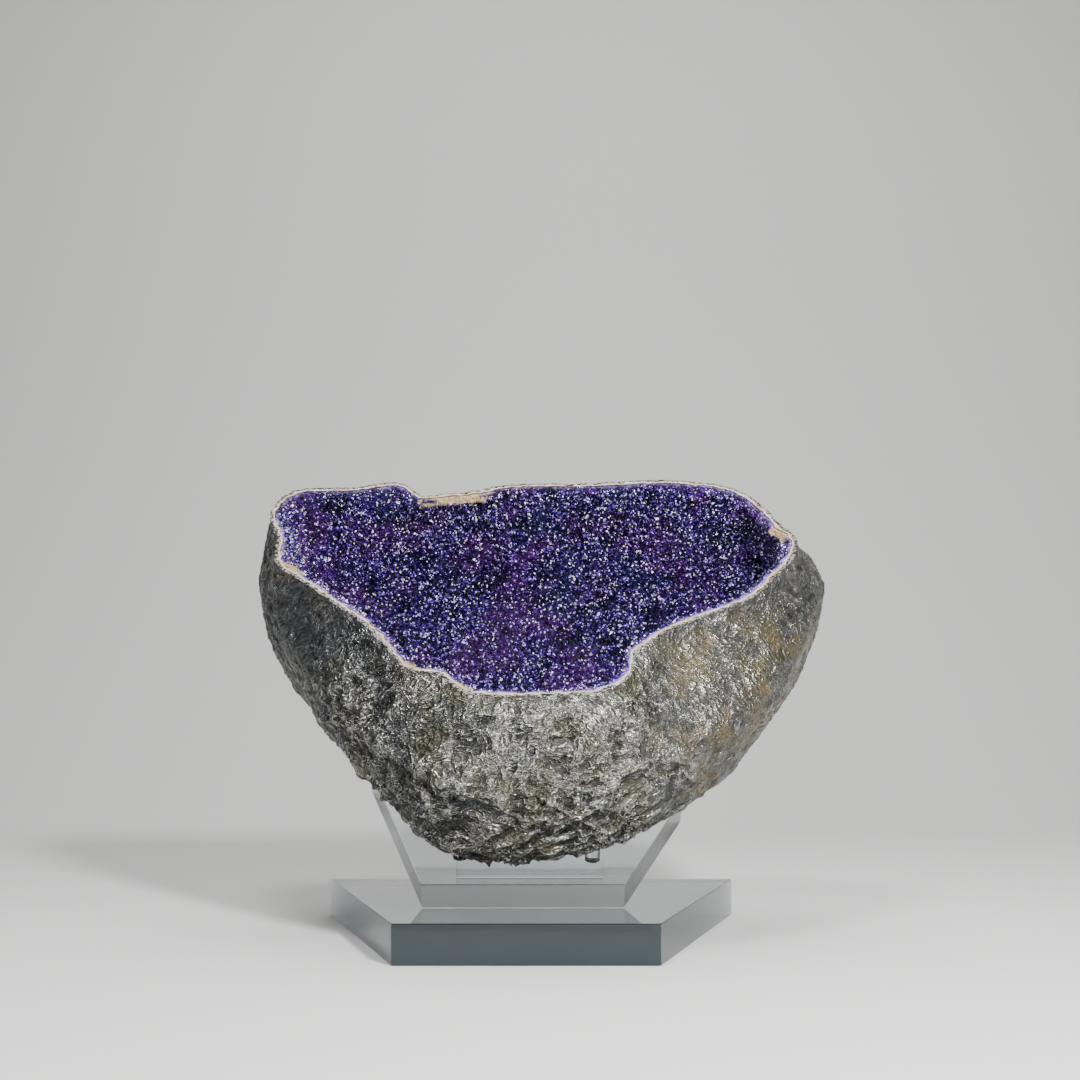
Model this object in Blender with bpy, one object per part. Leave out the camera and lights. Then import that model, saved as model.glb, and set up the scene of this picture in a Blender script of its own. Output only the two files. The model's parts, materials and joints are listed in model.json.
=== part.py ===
"""Half of an amethyst geode, lying on an acrylic stand with its sawn face tipped forward.

The rock shell is a rounded bowl below a flat cut. A crust of crystals lines the bowl.
The stand is a thick base slab, a thinner slab leaning back on it, and small feet.
X runs to the right, Y away from the front and Z up. Lengths are in metres.
"""

import math
import random

import bmesh
import bpy
import numpy as np
from mathutils import Matrix, Vector, noise
from mathutils.bvhtree import BVHTree

# Cut face: its tilt from level, its centre, and the line of the rim on it.
# Each rim point is across, then up the slope, from the centre.
CUT_TILT = math.radians(36.6)
CUT_CENTRE = Vector((0.0, 0.025, 0.3537))
RIM_LINE = (
    (-0.272, 0.115), (-0.259, 0.074), (-0.257, 0.035), (-0.242, 0.014),
    (-0.204, -0.025), (-0.157, -0.077), (-0.127, -0.125), (-0.113, -0.147),
    (-0.091, -0.150), (-0.075, -0.160), (-0.061, -0.180), (-0.038, -0.186),
    (0.018, -0.187), (0.064, -0.182), (0.087, -0.168), (0.101, -0.144),
    (0.099, -0.128), (0.127, -0.092), (0.166, -0.064), (0.217, -0.032),
    (0.247, 0.008), (0.269, 0.046), (0.272, 0.078), (0.260, 0.096),
    (0.239, 0.144), (0.205, 0.176), (0.139, 0.186), (0.057, 0.180),
    (-0.025, 0.178), (-0.052, 0.167), (-0.104, 0.157), (-0.116, 0.153),
    (-0.128, 0.166), (-0.146, 0.183), (-0.188, 0.172), (-0.246, 0.168),
    (-0.267, 0.145),
)
BOWL_CENTRE = Vector((0.0, 0.005))

# Rock shell.
SHELL_DEPTH = 0.2215
SHELL_DEPTH_GAIN_TO_BACK, GAIN_STOPS_AT = 0.17, 0.04
LIP_OUTSIDE_LINE = 0.0025
LIP_INSIDE_LINE = 0.0035
WALL = 0.017
FLOOR_WALL = 0.026
WALL_FULL_AT_DEPTH = 0.050
BELLY_LINE = (
    (0.314, 0.090), (0.280, -0.010), (0.226, -0.110), (0.176, -0.165),
    (0.104, -0.222), (0.012, -0.262), (-0.078, -0.250), (-0.152, -0.160),
    (-0.226, -0.055), (-0.276, 0.045), (-0.290, 0.105), (-0.266, 0.160),
    (-0.170, 0.195), (0.000, 0.205), (0.190, 0.195), (0.288, 0.150),
)
BELLY_REACHED_AT_DEPTH = 0.072
CORNER = {"right": 3.7, "left": 3.6, "back": 2.6, "front": 6.2}
HOLLOW_CORNER = 2.5
HOLLOW_FOLLOWS_BELLY = 0.5
LUMP_SIZE, LUMP_HEIGHT, LUMP_PATTERN_START = 0.070, 0.0060, Vector((3.1, 0.0, 7.7))
KNOB_SIZE, KNOB_HEIGHT, KNOB_MIDDLE = 0.032, 0.0042, 0.6
RELIEF_FULL_AT_DROP = 0.10

# Crystal crust.
CRUST, CRUST_CLEARANCE = 0.008, 0.00045
CRYSTAL_HEIGHTS, CRYSTAL_LEAN = (0.004, 0.010), 0.25

# Spacing of the mesh's points, along the rim and on the surfaces.
RIM_POINTS = 112
SHELL_STEP = 0.0200
HOLLOW_STEP = 0.0245
SCATTER = 0.22
FEWEST_IN_RING = 6
RULER_SHARES, RULER_DROPS = 64, 400
CURVE_SAMPLES, CURVE_PARTS = 960, 24
SOFTENING_REACHES = (45, 30)

# Acrylic stand. Slabs of 1.5 inch and 1 inch stock.
BASE_THICK, PLATFORM_THICK = 0.0381, 0.0254
BASE_FRONT_WIDTH, BASE_BACK_WIDTH, BASE_LENGTH = 0.243, 0.428, 0.320
PLATFORM_TILT = math.radians(25.0)
PLATFORM_FRONT_Y = -0.060
PLATFORM_CORNERS = ((-0.101, 0.0), (0.092, 0.0), (0.155, 0.161), (-0.169, 0.225))
FOOT_RADIUS, FOOT_PROBES = 0.0075, 12
FEET = {
    "rest_foot_left": (-0.066, 0.050),
    "rest_foot_right": (0.062, 0.046),
    "rest_foot_back": (-0.012, 0.150),
}
PROP_WIDTH, PROP_THICK, PROP_AT = 0.150, 0.0254, 0.140
EDGE_BEVEL = 0.0009
GAP = 0.0003

CUT_ACROSS = Vector((1.0, 0.0, 0.0))
CUT_UP = Vector((0.0, math.cos(CUT_TILT), math.sin(CUT_TILT)))
CUT_NORMAL = CUT_ACROSS.cross(CUT_UP)
PLATFORM_UP = Vector((0.0, math.cos(PLATFORM_TILT), math.sin(PLATFORM_TILT)))
PLATFORM_NORMAL = CUT_ACROSS.cross(PLATFORM_UP)
PLATFORM_START = Vector((0.0, PLATFORM_FRONT_Y, BASE_THICK + GAP))


def clear_scene():
    for obj in list(bpy.data.objects):
        bpy.data.objects.remove(obj, do_unlink=True)


def material(name, color, roughness, transmission=0.0):
    made = bpy.data.materials.new(name)
    made.use_nodes = True
    shader = made.node_tree.nodes["Principled BSDF"]
    shader.inputs["Base Color"].default_value = (*color, 1.0)
    shader.inputs["Roughness"].default_value = roughness
    shader.inputs["Metallic"].default_value = 0.0
    shader.inputs["Transmission Weight"].default_value = transmission
    return made


def add_object(name, mesh_data, surface):
    """The bmesh as a named object, outward faces, with its own material."""
    bmesh.ops.recalc_face_normals(mesh_data, faces=mesh_data.faces)
    mesh = bpy.data.meshes.new(name)
    mesh_data.to_mesh(mesh)
    mesh_data.free()
    mesh.materials.append(surface)
    obj = bpy.data.objects.new(name, mesh)
    bpy.context.collection.objects.link(obj)
    return obj


def smoothstep(value):
    value = min(max(value, 0.0), 1.0)
    return value * value * (3.0 - 2.0 * value)


def closed_curve(points):
    """Evenly spaced points on a smooth closed curve through the given ones."""
    corners = np.array(points)
    before, after = np.roll(corners, 1, axis=0), np.roll(corners, -1, axis=0)
    beyond = np.roll(corners, -2, axis=0)
    share = np.linspace(0.0, 1.0, CURVE_PARTS, endpoint=False)[:, None, None]
    curve = 0.5 * (
        2.0 * corners
        + (after - before) * share
        + (2.0 * before - 5.0 * corners + 4.0 * after - beyond) * share**2
        + (3.0 * corners - before - 3.0 * after + beyond) * share**3
    )
    curve = curve.transpose(1, 0, 2).reshape(-1, 2)
    steps = np.linalg.norm(np.roll(curve, -1, axis=0) - curve, axis=1)
    travelled = np.concatenate([[0.0], np.cumsum(steps)])
    wanted = np.linspace(0.0, travelled[-1], CURVE_SAMPLES, endpoint=False)
    closed = np.vstack([curve, curve[:1]])
    return np.column_stack([np.interp(wanted, travelled, closed[:, k]) for k in (0, 1)])


def softened(curve, reach):
    """The closed curve with each point moved to the mean of its neighbours."""
    return np.mean([np.roll(curve, k, axis=0) for k in range(-reach, reach + 1)], axis=0)


RIM_CURVE = closed_curve(RIM_LINE)
SOFT_CURVE = RIM_CURVE
for reach in SOFTENING_REACHES:
    SOFT_CURVE = softened(SOFT_CURVE, reach)
BELLY_OFFSETS = closed_curve(BELLY_LINE) - np.array(BOWL_CENTRE)
BELLY_ANGLES = np.arctan2(BELLY_OFFSETS[:, 1], BELLY_OFFSETS[:, 0])
BELLY_RADII = np.linalg.norm(BELLY_OFFSETS, axis=1)


def on_curve(curve, share):
    place = (share % 1.0) * CURVE_SAMPLES
    low = int(place) % CURVE_SAMPLES
    part = place - int(place)
    point = (1.0 - part) * curve[low] + part * curve[(low + 1) % CURVE_SAMPLES]
    return Vector(point)


def outward(curve, share):
    """The direction square to the curve, pointing away from the bowl."""
    step = 3.0 / CURVE_SAMPLES
    along = on_curve(curve, share + step) - on_curve(curve, share - step)
    return Vector((along.y, -along.x)).normalized()


def by_side(direction, values):
    """A value between those given for the four sides, for a direction on the cut face."""
    across, up = direction.x**2, direction.y**2
    side = values["right"] if direction.x > 0 else values["left"]
    end = values["back"] if direction.y > 0 else values["front"]
    return side * across + end * up


def from_cut(flat, depth):
    """The point this far below the cut face, under a place on it."""
    return CUT_CENTRE + CUT_ACROSS * flat.x + CUT_UP * flat.y - CUT_NORMAL * depth


def bowl(drop, corner):
    """How far out and how deep a bowl's wall is, drop being 0 at the rim and 1 at the pole."""
    angle = drop * math.pi / 2.0
    return math.cos(angle) ** (2.0 / corner), math.sin(angle) ** (2.0 / corner)


def belly_point(share):
    """The shell's outline at its fullest, in the direction of a rim point."""
    direction = (on_curve(SOFT_CURVE, share) - BOWL_CENTRE).normalized()
    angle = math.atan2(direction.y, direction.x)
    length = np.interp(angle, BELLY_ANGLES, BELLY_RADII, period=math.tau)
    return BOWL_CENTRE + direction * float(length)


def outline(share, depth):
    """The outline at this depth: the kinked rim line, easing into the rounded belly."""
    eased = smoothstep(depth / BELLY_REACHED_AT_DEPTH)
    return on_curve(RIM_CURVE, share) * (1.0 - eased) + belly_point(share) * eased


def shell_point(share, drop):
    """A point on the outside of the rock shell."""
    direction = (on_curve(RIM_CURVE, share) - BOWL_CENTRE).normalized()
    out, down = bowl(drop, by_side(direction, CORNER))
    flat = outline(share, down * SHELL_DEPTH) - BOWL_CENTRE
    flat = BOWL_CENTRE + flat * out
    flat += outward(RIM_CURVE, share) * LIP_OUTSIDE_LINE * out
    depth = down * (SHELL_DEPTH + SHELL_DEPTH_GAIN_TO_BACK * min(flat.y, GAIN_STOPS_AT))
    return from_cut(flat, depth)


def shell_relief(point, drop):
    """Lumps and knobs of the rind. They die away at the sawn edge."""
    lump = noise.noise(point / LUMP_SIZE + LUMP_PATTERN_START)
    knob = 1.0 - 2.0 * abs(noise.noise(point / KNOB_SIZE))
    fade = smoothstep(drop / RELIEF_FULL_AT_DROP)
    return (lump * LUMP_HEIGHT + (knob - KNOB_MIDDLE) * KNOB_HEIGHT) * fade


def hollow_point(share, drop, inset):
    """A point on the wall of the hollow, moved inwards by the inset."""
    out, down = bowl(drop, HOLLOW_CORNER)
    full_depth = SHELL_DEPTH - FLOOR_WALL
    depth = down * full_depth
    thickening = (WALL - LIP_INSIDE_LINE) * smoothstep(depth / WALL_FULL_AT_DEPTH)
    eased = smoothstep(depth / WALL_FULL_AT_DEPTH)
    edge = on_curve(RIM_CURVE, share) * (1.0 - eased)
    deep = on_curve(SOFT_CURVE, share).lerp(belly_point(share), HOLLOW_FOLLOWS_BELLY)
    edge += deep * eased
    edge -= outward(SOFT_CURVE, share) * (LIP_INSIDE_LINE + thickening + inset)
    flat = BOWL_CENTRE + (edge - BOWL_CENTRE) * out
    return from_cut(flat, down * (full_depth - inset))


def ring_length(place, drop):
    loop = [place(k / RULER_SHARES, drop) for k in range(RULER_SHARES)]
    return sum((a - b).length for a, b in zip(loop, loop[1:] + loop[:1]))


def ring_drops(place, step):
    """Drops of the rings from the rim down, each about a step below the one before."""
    sides = [place(side / 4.0, 0.0) for side in range(4)]
    drops, travelled = [0.0], 0.0
    for number in range(1, RULER_DROPS):
        drop = number / RULER_DROPS
        lower = [place(side / 4.0, drop) for side in range(4)]
        travelled += sum((a - b).length for a, b in zip(lower, sides)) / 4.0
        sides = lower
        if travelled >= step:
            drops.append(drop)
            travelled = 0.0
    return drops


def ring_plan(place, step, seed):
    """Rings of (share, drop) places over a bowl, a step apart and a little scattered."""
    chance = random.Random(seed)
    drops = ring_drops(place, step)
    rings = [[(k / RIM_POINTS, 0.0) for k in range(RIM_POINTS)]]
    for number, drop in enumerate(drops[1:], start=1):
        count = max(FEWEST_IN_RING, round(ring_length(place, drop) / step))
        room = SCATTER * (drop - drops[number - 1])
        ring = []
        for k in range(count):
            share = (k + 0.5 * (number % 2) + SCATTER * chance.uniform(-1, 1)) / count
            ring.append((share, drop + room * chance.uniform(-1, 1)))
        rings.append(ring)
    return rings


def stitch(mesh, upper, lower):
    """Triangles between two rings of (share, vertex)."""
    made = []
    i = j = 0
    while i < len(upper) or j < len(lower):
        next_upper = upper[(i + 1) % len(upper)][0] + (i + 1) // len(upper)
        next_lower = lower[(j + 1) % len(lower)][0] + (j + 1) // len(lower)
        here_upper, here_lower = upper[i % len(upper)][1], lower[j % len(lower)][1]
        if j == len(lower) or (i < len(upper) and next_upper <= next_lower):
            third = upper[(i + 1) % len(upper)][1]
            i += 1
        else:
            third = lower[(j + 1) % len(lower)][1]
            j += 1
        made.append(mesh.faces.new((here_upper, third, here_lower)))
    return made


def bowl_surface(mesh, plan, place):
    """Vertices and triangles of a bowl. Gives back its rim ring and its faces."""
    rings = []
    for ring in plan:
        rings.append([(share, mesh.verts.new(place(share, drop))) for share, drop in ring])
    faces = []
    for upper, lower in zip(rings, rings[1:]):
        faces += stitch(mesh, upper, lower)
    pole = mesh.verts.new(place(0.0, 1.0))
    last = rings[-1]
    for (_, a), (_, b) in zip(last, last[1:] + last[:1]):
        faces.append(mesh.faces.new((a, b, pole)))
    return rings[0], faces


def close_cut(mesh, outer, inner):
    """The flat sawn face between two rims with the same number of points."""
    for k in range(len(outer)):
        following = (k + 1) % len(outer)
        mesh.faces.new((outer[k][1], outer[following][1], inner[following][1], inner[k][1]))


def shell_place(share, drop):
    """The outside of the shell with its lumps, pushed in or out from the bowl's middle."""
    point = shell_point(share, drop)
    middle = from_cut(BOWL_CENTRE, SHELL_DEPTH / 2.0)
    return point + (point - middle).normalized() * shell_relief(point, drop)


def make_rind(hollow_plan, surface):
    mesh = bmesh.new()
    shell_plan = ring_plan(shell_point, SHELL_STEP, seed=11)
    outer_rim, _ = bowl_surface(mesh, shell_plan, shell_place)
    inner_rim, _ = bowl_surface(mesh, hollow_plan, lambda s, d: hollow_point(s, d, 0.0))
    close_cut(mesh, outer_rim, inner_rim)
    return add_object("rind", mesh, surface)


def grow_crystal(mesh, face, chance):
    """Draws a face of the crust up into a leaning point, towards the hollow's middle."""
    face.normal_update()
    middle = face.calc_center_median()
    normal = face.normal.copy()
    if normal.dot(from_cut(BOWL_CENTRE, 0.0) - middle) < 0.0:
        normal.negate()
    lean = Vector([chance.uniform(-CRYSTAL_LEAN, CRYSTAL_LEAN) for _ in range(3)])
    tip = middle + (normal + lean).normalized() * chance.uniform(*CRYSTAL_HEIGHTS)
    bmesh.ops.poke(mesh, faces=[face])["verts"][0].co = tip


def make_crust(hollow_plan, surface):
    """The crystals' shared root, with a pointed crystal grown on each of its inner faces."""
    mesh = bmesh.new()
    chance = random.Random(5)
    outer, inner = CRUST_CLEARANCE, CRUST_CLEARANCE + CRUST
    outer_rim, _ = bowl_surface(mesh, hollow_plan, lambda s, d: hollow_point(s, d, outer))
    inner_rim, bed = bowl_surface(mesh, hollow_plan, lambda s, d: hollow_point(s, d, inner))
    close_cut(mesh, outer_rim, inner_rim)
    for face in bed:
        grow_crystal(mesh, face, chance)
    return add_object("crystal_crust", mesh, surface)


def bevelled(obj):
    """Softens the sharp edges of a polished slab."""
    edge = obj.modifiers.new("polished edges", "BEVEL")
    edge.width = EDGE_BEVEL
    edge.segments = 2
    return obj


def make_slab(name, corners, thickness, place, surface):
    """A flat slab: an outline extruded to its thickness, then put in its place."""
    mesh = bmesh.new()
    outline_verts = [mesh.verts.new((x, y, 0.0)) for x, y in corners]
    bottom = mesh.faces.new(outline_verts)
    raised = bmesh.ops.extrude_face_region(mesh, geom=[bottom])["geom"]
    top = [part for part in raised if isinstance(part, bmesh.types.BMVert)]
    bmesh.ops.translate(mesh, verts=top, vec=(0.0, 0.0, thickness))
    bmesh.ops.transform(mesh, matrix=place, verts=mesh.verts)
    return bevelled(add_object(name, mesh, surface))


def make_stand(clear_surface):
    half_front, half_back = BASE_FRONT_WIDTH / 2.0, BASE_BACK_WIDTH / 2.0
    half_length = BASE_LENGTH / 2.0
    base = ((-half_front, -half_length), (half_front, -half_length),
            (half_back, half_length), (-half_back, half_length))
    make_slab("base_slab", base, BASE_THICK, Matrix.Identity(4), clear_surface("base acrylic"))
    lean = Matrix.Translation(PLATFORM_START) @ Matrix.Rotation(PLATFORM_TILT, 4, "X")
    make_slab("platform_slab", PLATFORM_CORNERS, PLATFORM_THICK, lean,
              clear_surface("platform acrylic"))


def make_foot(name, across, along, rind_tree, surface):
    """A short rod square to the leaning slab, as tall as the belly above it allows."""
    base = PLATFORM_START + CUT_ACROSS * across + PLATFORM_UP * along
    base += PLATFORM_NORMAL * (PLATFORM_THICK + GAP)
    reach = []
    for turn in range(FOOT_PROBES):
        angle = turn * math.tau / FOOT_PROBES
        side = CUT_ACROSS * math.cos(angle) + PLATFORM_UP * math.sin(angle)
        reach.append(rind_tree.ray_cast(base + side * FOOT_RADIUS, PLATFORM_NORMAL)[3])
    height = min(reach) - GAP
    mesh = bmesh.new()
    bmesh.ops.create_cone(mesh, cap_ends=True, segments=2 * FOOT_PROBES, radius1=FOOT_RADIUS,
                          radius2=FOOT_RADIUS, depth=height)
    place = Matrix.Translation(base + PLATFORM_NORMAL * (height / 2.0))
    place = place @ Matrix.Rotation(PLATFORM_TILT, 4, "X")
    bmesh.ops.transform(mesh, matrix=place, verts=mesh.verts)
    foot = add_object(name, mesh, surface)
    foot.data.shade_smooth()
    foot.data.set_sharp_from_angle(angle=math.radians(40.0))


def make_prop(surface):
    """An upright block under the raised end of the platform, its top sawn to the lean."""
    front = PLATFORM_START + PLATFORM_UP * PROP_AT
    slope = math.tan(PLATFORM_TILT)
    floor = BASE_THICK + GAP
    under_slab = front.z - GAP / math.cos(PLATFORM_TILT)
    mesh = bmesh.new()
    bmesh.ops.create_cube(mesh, size=1.0)
    for vert in mesh.verts:
        back = (vert.co.y + 0.5) * PROP_THICK
        height = under_slab + back * slope if vert.co.z > 0.0 else floor
        vert.co = Vector((vert.co.x * PROP_WIDTH, front.y + back, height))
    bevelled(add_object("rear_prop", mesh, surface))


def main():
    clear_scene()
    hollow_plan = ring_plan(lambda s, d: hollow_point(s, d, 0.0), HOLLOW_STEP, seed=3)
    rock = material("grey rind", (0.17, 0.165, 0.155), 0.55)
    amethyst = material("amethyst", (0.10, 0.04, 0.24), 0.15)
    rind = make_rind(hollow_plan, rock)
    make_crust(hollow_plan, amethyst)

    def clear_surface(name):
        return material(name, (0.55, 0.62, 0.66), 0.03, transmission=1.0)

    make_stand(clear_surface)
    tree = BVHTree.FromPolygons(
        [v.co for v in rind.data.vertices], [p.vertices for p in rind.data.polygons]
    )
    for name, (across, along) in FEET.items():
        make_foot(name, across, along, tree, clear_surface(name + " acrylic"))
    make_prop(clear_surface("prop acrylic"))


main()
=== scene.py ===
# %% [markdown]
# # Half of an amethyst geode on an acrylic stand
#
# A geode is a hollow stone that formed in a gas bubble of cooling lava. Sawn in two, each
# half is a bowl: a thin rind of dark rock outside, a line of cream agate along the cut, and
# a crust of small purple crystals inside. This half lies tipped forward on a stand of clear
# acrylic slabs, so that one looks into the hollow.
#
# The solids of the construction give every size and place. This script dresses them: it
# makes the rock's fine relief, the bed of crystals and tens of thousands of crystals on it,
# and it gives each slab a finish.

# %% The frame that all else is fitted to
import json
import math

import bpy
import numpy as np
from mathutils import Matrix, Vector

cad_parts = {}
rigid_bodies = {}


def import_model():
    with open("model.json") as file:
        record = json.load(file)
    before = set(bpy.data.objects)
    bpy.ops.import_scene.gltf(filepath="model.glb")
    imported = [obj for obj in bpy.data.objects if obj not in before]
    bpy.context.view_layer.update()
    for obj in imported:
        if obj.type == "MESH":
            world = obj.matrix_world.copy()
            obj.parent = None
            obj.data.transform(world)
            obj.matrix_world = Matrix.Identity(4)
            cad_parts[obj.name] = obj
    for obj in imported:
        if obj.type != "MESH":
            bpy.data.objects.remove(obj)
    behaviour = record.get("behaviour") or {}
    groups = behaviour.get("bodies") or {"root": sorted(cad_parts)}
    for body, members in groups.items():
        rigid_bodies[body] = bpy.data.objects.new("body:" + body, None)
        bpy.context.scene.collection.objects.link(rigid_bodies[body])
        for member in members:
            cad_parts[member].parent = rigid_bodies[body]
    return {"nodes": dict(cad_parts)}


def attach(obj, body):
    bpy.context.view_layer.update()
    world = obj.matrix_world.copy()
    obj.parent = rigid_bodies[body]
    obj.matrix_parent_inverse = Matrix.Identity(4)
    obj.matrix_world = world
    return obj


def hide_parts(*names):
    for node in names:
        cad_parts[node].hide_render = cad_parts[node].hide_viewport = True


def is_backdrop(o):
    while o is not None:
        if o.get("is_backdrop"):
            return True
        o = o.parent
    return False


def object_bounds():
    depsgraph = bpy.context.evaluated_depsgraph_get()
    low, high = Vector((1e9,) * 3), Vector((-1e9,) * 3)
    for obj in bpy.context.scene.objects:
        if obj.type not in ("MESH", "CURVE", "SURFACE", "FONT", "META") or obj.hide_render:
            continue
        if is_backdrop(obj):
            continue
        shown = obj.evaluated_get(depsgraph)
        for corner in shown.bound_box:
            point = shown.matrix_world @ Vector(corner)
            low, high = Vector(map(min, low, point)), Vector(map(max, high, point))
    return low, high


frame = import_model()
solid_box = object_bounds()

MM = 0.001
print("nodes:", sorted(frame["nodes"]))
print("box of the solids:", [[round(c, 4) for c in corner] for corner in solid_box])

# %% [markdown]
# ## The sawn plane
#
# Everything on the stone is measured from the saw cut. It is a flat plane that leans
# towards the viewer. Its lean and its middle are the same numbers that the solids have.
# A place's depth below this plane says whether it is on the rim, near it or deep down.

# %% The cut, and how deep a place lies under it
CUT_TILT = math.radians(36.6)
CUT_CENTRE = Vector((0.0, 0.025, 0.3537))
CUT_NORMAL = Vector((0.0, -math.sin(CUT_TILT), math.cos(CUT_TILT)))
ON_THE_CUT = 0.02 * MM


def depth_of(place):
    return (CUT_CENTRE - place).dot(CUT_NORMAL)


rim_depths = [depth_of(v.co) for v in frame["nodes"]["rind"].data.vertices]
print("the rind reaches from", round(min(rim_depths), 5), "to", round(max(rim_depths), 4), "m deep")

# %% [markdown]
# ## The camera
#
# The camera stands about 1.7 m in front, level, a little below the middle of the rim. It
# looks straight ahead and the picture is framed with a small lens shift, so that the
# stand's upright edges stay upright. It is near enough to show the slabs' sides running
# apart.

# %% The camera
FRAME_PX = 1080
FOCAL_PX = 1900
AXIS_X_PX, HORIZON_Y_PX = 559, 640
CAMERA_PLACE = (0.0297, -1.870, 0.2934)
SENSOR_MM = 36.0
NEAREST_SEEN = 0.01

bpy.ops.object.select_all(action="DESELECT")
bpy.ops.object.camera_add(location=CAMERA_PLACE, rotation=(math.pi / 2.0, 0.0, 0.0))
camera = bpy.context.object
camera.name = "camera"
camera.data.sensor_width = SENSOR_MM
camera.data.lens = SENSOR_MM * FOCAL_PX / FRAME_PX
camera.data.shift_x = (FRAME_PX / 2 - AXIS_X_PX) / FRAME_PX
camera.data.shift_y = (HORIZON_Y_PX - FRAME_PX / 2) / FRAME_PX
camera.data.clip_start = NEAREST_SEEN
bpy.context.scene.camera = camera
print("lens", round(camera.data.lens, 2), "mm, shift",
      round(camera.data.shift_x, 4), round(camera.data.shift_y, 4))


# %% Small helpers for working on one object at a time
def take(obj):
    """Makes this the only selected object, and the active one."""
    bpy.ops.object.select_all(action="DESELECT")
    obj.select_set(True)
    bpy.context.view_layer.objects.active = obj
    return obj


def edit_mode():
    bpy.ops.object.mode_set(mode="EDIT")


def object_mode():
    bpy.ops.object.mode_set(mode="OBJECT")


def edit(obj, kind, wanted):
    """Opens edit mode with only the wanted ones selected: of VERT, EDGE or FACE."""
    take(obj)
    edit_mode()
    bpy.ops.mesh.select_mode(type=kind)
    bpy.ops.mesh.select_all(action="DESELECT")
    object_mode()
    mesh = obj.data
    parts = {"VERT": mesh.vertices, "EDGE": mesh.edges, "FACE": mesh.polygons}[kind]
    parts.foreach_set("select", [bool(wanted(part)) for part in parts])
    edit_mode()


def apply_modifier(obj, modifier):
    take(obj)
    bpy.ops.object.modifier_apply(modifier=modifier.name)


def triangles(obj):
    obj.data.calc_loop_triangles()
    return len(obj.data.loop_triangles)


# %% Nodes, made the same way in a material and in Geometry Nodes
def is_socket(value):
    return isinstance(value, bpy.types.NodeSocket)


def fill(tree, node, inputs):
    """Fills a node's inputs with values, or links them where a socket is given."""
    for key, value in inputs.items():
        if is_socket(value):
            tree.links.new(value, node.inputs[key])
        else:
            node.inputs[key].default_value = value


def add(tree, kind, inputs=None, **settings):
    """A new node with its settings made and its inputs filled."""
    made = tree.nodes.new(kind)
    for key, value in settings.items():
        setattr(made, key, value)
    fill(tree, made, inputs or {})
    return made


def calc(tree, operation, a, b=0.0, c=0.0):
    """One step of arithmetic. Gives its output socket."""
    return add(tree, "ShaderNodeMath", {0: a, 1: b, 2: c}, operation=operation).outputs[0]


def times(tree, a, b):
    return calc(tree, "MULTIPLY", a, b)


def plus_share(tree, total, value, share):
    """The total, with a share of a value added."""
    return calc(tree, "MULTIPLY_ADD", value, share, total)


def vector_calc(tree, operation, a, b=(0.0, 0.0, 0.0)):
    """One step of vector arithmetic. A dot product or length gives its number."""
    made = add(tree, "ShaderNodeVectorMath", {0: a, 1: b}, operation=operation)
    return made.outputs["Value" if operation in {"DOT_PRODUCT", "LENGTH"} else "Vector"]


def minus(tree, a, b):
    return vector_calc(tree, "SUBTRACT", a, b)


def along(tree, vector, axis):
    """A vector's number along X, Y or Z."""
    return add(tree, "ShaderNodeSeparateXYZ", {0: vector}).outputs[axis]


def scaled(tree, vector, factor):
    made = add(tree, "ShaderNodeVectorMath", {0: vector, "Scale": factor}, operation="SCALE")
    return made.outputs["Vector"]


def eased(tree, value, low, high, out_low=0.0, out_high=1.0):
    """A smooth step from out_low to out_high as the value goes from low to high."""
    inputs = {"Value": value, "From Min": low, "From Max": high,
              "To Min": out_low, "To Max": out_high}
    return add(tree, "ShaderNodeMapRange", inputs, interpolation_type="SMOOTHSTEP").outputs[0]


def cloud(tree, place, size, detail=2.0, roughness=0.5):
    """Cloudy noise. Size is the width of its patches in metres. Gives the node."""
    inputs = {"Vector": place, "Scale": 1.0 / size, "Detail": detail, "Roughness": roughness}
    return add(tree, "ShaderNodeTexNoise", inputs)


def cells(tree, place, size, feature="F1"):
    """Cells like those of cracked mud. Size is their width in metres. Gives the node."""
    inputs = {"Vector": place, "Scale": 1.0 / size}
    return add(tree, "ShaderNodeTexVoronoi", inputs, feature=feature)


def depth_field(tree, place):
    """Depth below the sawn plane, worked out by nodes."""
    height = vector_calc(tree, "DOT_PRODUCT", place, tuple(CUT_NORMAL))
    return calc(tree, "SUBTRACT", CUT_CENTRE.dot(CUT_NORMAL), height)


def geometry_tree(name):
    """An empty Geometry Nodes group, with its input and output nodes."""
    tree = bpy.data.node_groups.new(name, "GeometryNodeTree")
    for side in ("INPUT", "OUTPUT"):
        tree.interface.new_socket("Geometry", in_out=side, socket_type="NodeSocketGeometry")
    return tree, tree.nodes.new("NodeGroupInput"), tree.nodes.new("NodeGroupOutput")


def read_mark(tree, name):
    """The number that each point carries under this name, for Geometry Nodes."""
    inputs = {"Name": name}
    return add(tree, "GeometryNodeInputNamedAttribute", inputs, data_type="FLOAT").outputs[0]


def run_nodes(obj, tree):
    """Puts a Geometry Nodes group on the object and applies it."""
    modifier = obj.modifiers.new(tree.name, "NODES")
    modifier.node_group = tree
    apply_modifier(obj, modifier)


print("helpers ready")

# %% [markdown]
# ## Taking the stone's shell apart
#
# The solid rind is one closed mesh of broad triangles: the outside, the wall of the hollow,
# and a narrow ring where the saw went through. Its outside needs very fine faces and the
# hidden wall none, so a merged copy is parted at the ring, each part is refined on its
# own, and the parts are joined again along the same edges. Remeshing the whole would waste
# faces on the hidden wall and would round the sharp sawn edge.


# %% Part a shell at its sawn ring
SAME_POINT = 0.01 * MM
STRAIGHT_ON = 0.99


def closed_up(obj):
    """Merges points that lie on each other and turns the faces outwards."""
    take(obj)
    edit_mode()
    bpy.ops.mesh.select_all(action="SELECT")
    bpy.ops.mesh.remove_doubles(threshold=SAME_POINT)
    bpy.ops.mesh.normals_make_consistent(inside=False)
    object_mode()
    return obj


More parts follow.
